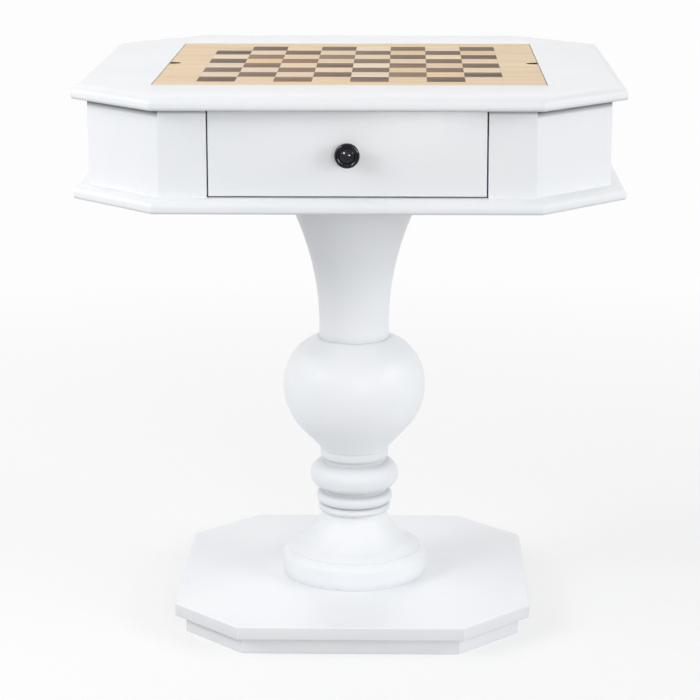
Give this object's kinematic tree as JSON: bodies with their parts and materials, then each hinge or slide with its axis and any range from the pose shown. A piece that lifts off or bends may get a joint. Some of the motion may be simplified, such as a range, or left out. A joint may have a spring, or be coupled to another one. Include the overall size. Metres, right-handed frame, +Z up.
{
  "type": "games table",
  "caption": "Eight-sided pedestal games table with a lift-out chess board over a shallow well, a drawer with a round knob, and a turned column on a stepped base.",
  "frame": {"origin": "on the floor, under the middle of the top", "axes": "+Z up; +X to the right of someone facing the drawer; -Y towards that person, the way the drawer opens"},
  "size_m": [0.7112, 0.7139, 0.773],
  "materials": {
    "white_paint": "satin white paint",
    "bare_pine": "planed, unfinished",
    "maple": "satin lacquer",
    "pale_square": "satin lacquer",
    "walnut": "satin lacquer",
    "pale_point": "satin lacquer",
    "steel": "zinc plated",
    "black_gloss": "gloss black"
  },
  "bodies": {
    "table": {"base_plinth": "white_paint", "base_slab": "white_paint", "column_foot": "white_paint", "column_rings": "white_paint", "column_ball": "white_paint", "column_neck": "white_paint", "case_floor": "white_paint", "front_stile_left": "white_paint", "front_stile_right": "white_paint", "corner_panel_front_right": "white_paint", "apron_right": "white_paint", "corner_panel_back_right": "white_paint", "apron_back": "white_paint", "corner_panel_back_left": "white_paint", "apron_left": "white_paint", "corner_panel_front_left": "white_paint", "top_slab": "white_paint", "well_side_left": "white_paint", "well_side_right": "white_paint", "well_side_front": "white_paint", "well_side_back": "white_paint", "corner_posts": "bare_pine", "top_cleats": "bare_pine", "well_floor": "bare_pine", "drawer_runner_left": "bare_pine", "drawer_runner_right": "bare_pine", "drawer_kickers": "bare_pine", "drawer_stops": "bare_pine", "stop_strip": "bare_pine", "well_bar": "bare_pine", "well_field": "maple", "well_points_dark": "walnut", "well_points_light": "pale_point", "tie_rod": "steel", "tie_rod_nuts": "steel", "tie_rod_washers": "steel", "plinth_screws": "steel", "foot_screws": "steel", "column_screws": "steel", "floor_screws": "steel", "cleat_screws": "steel"},
    "drawer": {"drawer_front": "white_paint", "drawer_side_left": "bare_pine", "drawer_side_right": "bare_pine", "drawer_back": "bare_pine", "drawer_bottom": "bare_pine", "drawer_dowels": "bare_pine", "stop_button": "bare_pine", "drawer_knob": "black_gloss", "knob_screw": "steel"},
    "game_board": {"board_core": "maple", "board_edge_strips": "maple", "board_backing": "maple", "board_border_left": "maple", "board_border_right": "maple", "board_border_front": "maple", "board_border_back": "maple", "board_squares_dark": "walnut", "board_squares_light": "pale_square"}
  },
  "joints": [
    {"name": "drawer_slide", "type": "slide", "parent": "table", "child": "drawer", "axis": [0, -1, 0], "range_m": [0, 0.27]},
    {"name": "board_lift", "type": "slide", "parent": "table", "child": "game_board", "axis": [0, 0, 1], "range_m": [0, 0.06]}
  ]
}
